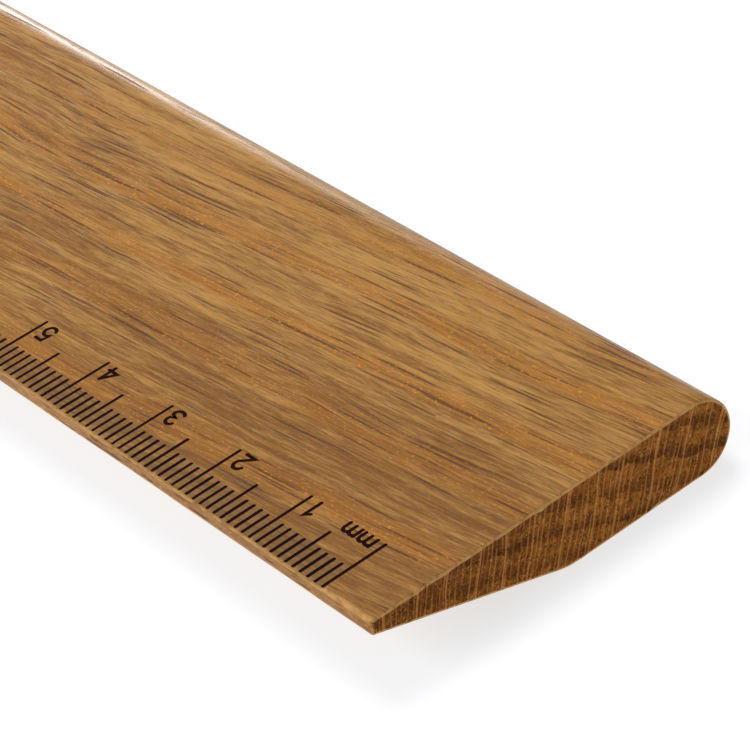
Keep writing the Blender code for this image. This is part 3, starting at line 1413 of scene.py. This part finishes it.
@dataclass
class Lettering:
    """The numerals and the unit label, read from the thick edge, with their feet towards it."""

    zero: Vector
    baseline_from_start: float = 6.90 * MM
    numeral_height: float = 1.92 * MM
    numeral_width: float = 1.19 * MM
    numeral_gap: float = 0.36 * MM
    line_gap: float = 0.93 * MM
    label: str = "mm"
    label_height: float = 1.10 * MM
    label_width: float = 1.56 * MM
    label_gap: float = 0.50 * MM
    label_from_zero: float = 0.95 * MM
    stroke_width: float = 0.36 * MM
    centimetre: float = 10.0 * MM
    last_number: int = 30
    end_steps: int = 4
    end_angle: float = math.radians(84)
    sharpest_mitre: float = 0.4

    def _ribbon(self, form: Form, stroke: Stroke, layer: Layer) -> None:
        """Add a flat bar along a stroke, with round ends where it is open.

        Args:
            form: The mesh that takes the bar.
            stroke: The stroke, in world X and Y.
            layer: How the strokes are made.
        """
        closed = stroke.closed
        half = self.stroke_width / 2 + layer.spare
        path, halves = stroke.path, [half] * len(stroke.path)
        if not closed:
            path, halves = self._round_ends(path, half)
        sections = []
        for i, (x, y) in enumerate(path):
            before = path[i - 1] if closed or i > 0 else path[i]
            after = path[(i + 1) % len(path)] if closed or i < len(path) - 1 else path[i]
            side = self._side((x - before[0], y - before[1]), (after[0] - x, after[1] - y)) * halves[i]
            low_z = layer.top_z - layer.depth
            places = ((1, layer.top_z), (-1, layer.top_z), (-1, low_z), (1, low_z))
            sections.append([form.verts.new((x + s * side.x, y + s * side.y, z)) for s, z in places])
        pairs = list(zip(sections, sections[1:] + sections[:1]))
        for here, there in pairs if closed else pairs[:-1]:
            for i in range(4):
                j = (i + 1) % 4
                form.faces.new((here[i], here[j], there[j], there[i]))
        if not closed:
            form.faces.new(sections[0])
            form.faces.new(sections[-1])

    def _side(self, arriving: Point, leaving: Point) -> Vector:
        """The way from a path's point to the bar's side, long enough for a mitre.

        Args:
            arriving: The step to the point, or nothing at a path's start.
            leaving: The step from the point, or nothing at its end.

        Returns:
            A vector for a bar of half width 1.
        """
        steps = [Vector(step).normalized() for step in (arriving, leaving) if any(step)]
        along = (steps[0] + steps[-1]).normalized()
        return Vector((-along.y, along.x)) / max(self.sharpest_mitre, along.dot(steps[-1]))

    def _round_ends(self, path: Path, half: float) -> tuple[Path, list[float]]:
        """Carry a path on past its ends, narrowing, so that the bar ends round.

        Args:
            path: The open path.
            half: Half the bar's width.

        Returns:
            The longer path, and the half width at each of its points.
        """
        ends = []
        for tip, inner in ((path[0], path[1]), (path[-1], path[-2])):
            out = Vector((tip[0] - inner[0], tip[1] - inner[1])).normalized()
            extra = []
            for i in range(1, self.end_steps + 1):
                angle = self.end_angle * i / self.end_steps
                place = Vector(tip) + out * half * math.sin(angle)
                extra.append(((place.x, place.y), half * math.cos(angle)))
            ends.append(extra)
        points = ends[0][::-1] + [(point, half) for point in path] + ends[1]
        return [point for point, _ in points], [width for _, width in points]

    def _glyph(self, glyph: str, left_x: float, width: float, height: float) -> list[Stroke]:
        """A glyph's strokes where they lie. The reader's right is -X, and up is -Y.

        Args:
            glyph: A digit, or m.
            left_x: The X of the glyph's left side.
            width: Its width.
            height: Its height.

        Returns:
            The strokes, in world X and Y.
        """
        baseline = self.zero.y + self.baseline_from_start
        unit = DIGIT_WIDTH if glyph.isdigit() else LETTER_WIDTH
        strokes = []
        for stroke in glyph_strokes(glyph):
            placed = [(left_x - u / unit * width, baseline - v * height) for u, v in stroke.path]
            strokes.append(stroke._replace(path=placed))
        return strokes

    def all_strokes(self) -> list[Stroke]:
        """Every stroke of the numerals and the label, in world X and Y.

        Returns:
            The strokes, from the zero line on.
        """
        strokes = []
        left_x = self.zero.x - self.label_from_zero
        for glyph in self.label:
            strokes += self._glyph(glyph, left_x, self.label_width, self.label_height)
            left_x -= self.label_width + self.label_gap
        step = self.numeral_width + self.numeral_gap
        for number in range(1, self.last_number + 1):
            digits = str(number)
            span = step * len(digits) - self.numeral_gap
            left_x = self.zero.x - number * self.centimetre + self.line_gap + span
            for digit in digits:
                strokes += self._glyph(digit, left_x, self.numeral_width, self.numeral_height)
                left_x -= step
        return strokes

    def build(self, name: str, burn_pass: int, layer: Layer) -> Thing:
        """Make the strokes of one pass as closed solids.

        Args:
            name: The object's name.
            burn_pass: Which pass to make, 0 or 1.
            layer: How the strokes are made.

        Returns:
            The strokes as one mesh.
        """
        form = bmesh.new()
        for stroke in self.all_strokes():
            if stroke.burn_pass == burn_pass:
                self._ribbon(form, stroke, layer)
        bmesh.ops.recalc_face_normals(form, faces=form.faces)
        letters = mesh_object(name, form)
        letters.data.materials.append(layer.finish)
        return letters


@dataclass
class BurntScale:
    """The whole scale: the solids that engrave the blank, and the charred wood that fills them."""

    graduations: Graduations
    lettering: Lettering
    top_z: float
    engraving_depth: float = 0.20 * MM
    headroom: float = 0.30 * MM
    char_recess: float = 0.03 * MM
    clearance: float = 0.008 * MM

    def engrave(self, blank: Thing, scorched: Finish) -> None:
        """Cut the marks into the blank: the graduations, then the two passes of the lettering.

        Args:
            blank: The blank, which is changed.
            scorched: The material of the walls that are cut.
        """
        depth = self.engraving_depth + self.headroom
        layer = Layer(self.top_z + self.headroom, depth, self.clearance, scorched)
        cutters = [self.graduations.build("engraving_lines", layer)]
        for burn_pass in (0, 1):
            cutters.append(self.lettering.build(f"engraving_letters_{burn_pass}", burn_pass, layer))
        combine(blank, cutters, "DIFFERENCE")

    def char(self, charred: Finish) -> tuple[Thing, Thing]:
        """The charred wood in the engraving.

        Args:
            charred: Its material.

        Returns:
            The graduations and the lettering.
        """
        depth = self.engraving_depth - self.char_recess - self.clearance
        layer = Layer(self.top_z - self.char_recess, depth, 0.0, charred)
        lines = self.graduations.build("burnt_graduations", layer)
        letters = self.lettering.build("burnt_lettering", 0, layer)
        combine(letters, [self.lettering.build("second_pass", 1, layer)], "UNION")
        return lines, letters


# ---------------------------------------------------------------- studio


@dataclass(frozen=True)
class Softbox:
    """A rectangular studio light that faces the ruler."""

    name: str
    place: Triple
    width: float
    height: float
    watts: float

    def build(self, target: Vector) -> None:
        """Hang the light and turn it to the target.

        Args:
            target: What it faces.
        """
        data = bpy.data.lights.new(self.name, "AREA")
        data.shape = "RECTANGLE"
        data.size = self.width
        data.size_y = self.height
        data.energy = self.watts
        lamp = bpy.data.objects.new(self.name, data)
        lamp.location = self.place
        lamp.rotation_euler = (target - lamp.location).to_track_quat("-Z", "Y").to_euler()
        bpy.context.scene.collection.objects.link(lamp)


@dataclass
class Studio:
    """A pale floor, soft light and the camera."""

    low: Vector
    high: Vector
    floor_size: float = 6.0
    floor_gap: float = 0.02 * MM
    floor_colour: Colour = (0.37, 0.39, 0.42, 1.0)
    floor_glow: float = 0.69
    white: Colour = (1.0, 1.0, 1.0, 1.0)
    world_strength: float = 0.26
    light_aim_x: float = 0.05
    aim_from_end: float = 25.47 * MM
    aim_y: float = 1.49 * MM
    distance: float = 319.4 * MM
    heading: float = math.radians(147.774)
    elevation: float = math.radians(36.24)
    roll: float = math.radians(-11.955)
    lens: float = 173.73
    sensor_width: float = 36.0
    clip: Span = (0.01, 20.0)
    softboxes: tuple[Softbox, ...] = (
        Softbox("key_softbox", (-0.10, -0.75, 0.62), 0.7, 0.5, 6.0),
        Softbox("top_softbox", (-0.30, 0.20, 0.95), 0.6, 0.6, 6.5),
        Softbox("back_strip", (-1.17, 0.78, 0.09), 0.54, 0.14, 9.0),
    )

    def build(self) -> None:
        """Make the floor, the lights, the world and the camera."""
        self._floor()
        target = Vector((self.light_aim_x, 0.0, self.high.z))
        for softbox in self.softboxes:
            softbox.build(target)
        self._world()
        self._camera()
        bpy.context.scene.view_settings.view_transform = "Standard"
        log.info("studio: floor, %d softboxes and camera", len(self.softboxes))

    def _floor(self) -> None:
        """Lay a plain pale floor under the ruler."""
        material, bench, shader = new_material("pale_floor")
        looks = {
            "Base Color": self.floor_colour,
            "Roughness": 1.0,
            "Specular IOR Level": 0.0,
            "Emission Color": self.white,
            "Emission Strength": self.floor_glow,
        }
        bench.feed(shader, looks)
        form = bmesh.new()
        bmesh.ops.create_grid(form, x_segments=1, y_segments=1, size=self.floor_size / 2)
        bmesh.ops.translate(form, verts=form.verts, vec=(0.0, 0.0, self.low.z - self.floor_gap))
        floor = mesh_object("floor", form)
        floor.data.materials.append(material)

    def _world(self) -> None:
        """Light the scene evenly and faintly from all round."""
        world = bpy.data.worlds.new("studio_world")
        world.use_nodes = True
        light = {"Color": self.white, "Strength": self.world_strength}
        NodeBench(world.node_tree).feed(world.node_tree.nodes["Background"], light)
        bpy.context.scene.world = world

    def _camera(self) -> None:
        """Set a long lens close to the zero end, looking along the ruler from above its thin edge."""
        flat = math.cos(self.elevation)
        forward = Vector(
            (math.cos(self.heading) * flat, math.sin(self.heading) * flat, -math.sin(self.elevation))
        )
        level = forward.cross(Vector((0.0, 0.0, 1.0))).normalized()
        upright = level.cross(forward)
        right = level * math.cos(self.roll) + upright * math.sin(self.roll)
        up = upright * math.cos(self.roll) - level * math.sin(self.roll)
        aim = Vector((self.high.x - self.aim_from_end, self.aim_y, self.high.z))
        place = Matrix((right, up, -forward)).transposed().to_4x4()
        place.translation = aim - forward * self.distance
        data = bpy.data.cameras.new("camera")
        data.lens = self.lens
        data.sensor_width = self.sensor_width
        data.clip_start, data.clip_end = self.clip
        camera = bpy.data.objects.new("camera", data)
        camera.matrix_world = place
        bpy.context.scene.collection.objects.link(camera)
        bpy.context.scene.camera = camera


# ---------------------------------------------------------------- assembly


def hand_over(piece: Thing, nodes: list[str]) -> None:
    """Tell the frame what a piece rides on and which CAD nodes it stands for.

    Args:
        piece: The finished piece.
        nodes: The CAD nodes that it replaces.
    """
    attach(piece, BODY)
    if nodes:
        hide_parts(*nodes)
    log.info("%s: %d faces, for %d CAD nodes", piece.name, len(piece.data.polygons), len(nodes))


def main() -> None:
    """Build the ruler's visible pieces and the studio."""
    logging.basicConfig(level=logging.INFO, format="%(name)s: %(message)s")
    low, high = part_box("oak_blank")
    zero_low, zero_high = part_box("zero_line")
    last_low, last_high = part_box("cm_line_30")
    zero = Vector(((zero_low.x + zero_high.x) / 2, zero_low.y, high.z))
    graduations = Graduations(zero, (last_low.x + last_high.x) / 2, zero_high.y - zero_low.y)
    scale = BurntScale(graduations, Lettering(zero), high.z)
    haze = ScaleHaze(
        from_x=last_low.x / MM,
        to_x=zero_high.x / MM,
        edge_y=low.y / MM,
        top_z=high.z / MM,
        stroke_length=graduations.millimetre_length / MM,
    )
    groups = (OakFigure().group(), haze.group(), EdgeWear().group())
    oak, end_oak = (OiledOak(cut, *groups).material() for cut in Cut)
    blank = OakBlank(low, high).build(oak, end_oak)
    scale.engrave(blank, SCORCHED_OAK.material())
    hand_over(blank, ["oak_blank"])
    lines, letters = scale.char(CHARRED_WOOD.material())
    hand_over(lines, [name for name in sorted(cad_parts) if name != "oak_blank"])
    hand_over(letters, [])
    Studio(low, high).build()


if __name__ == "__main__":
    main()
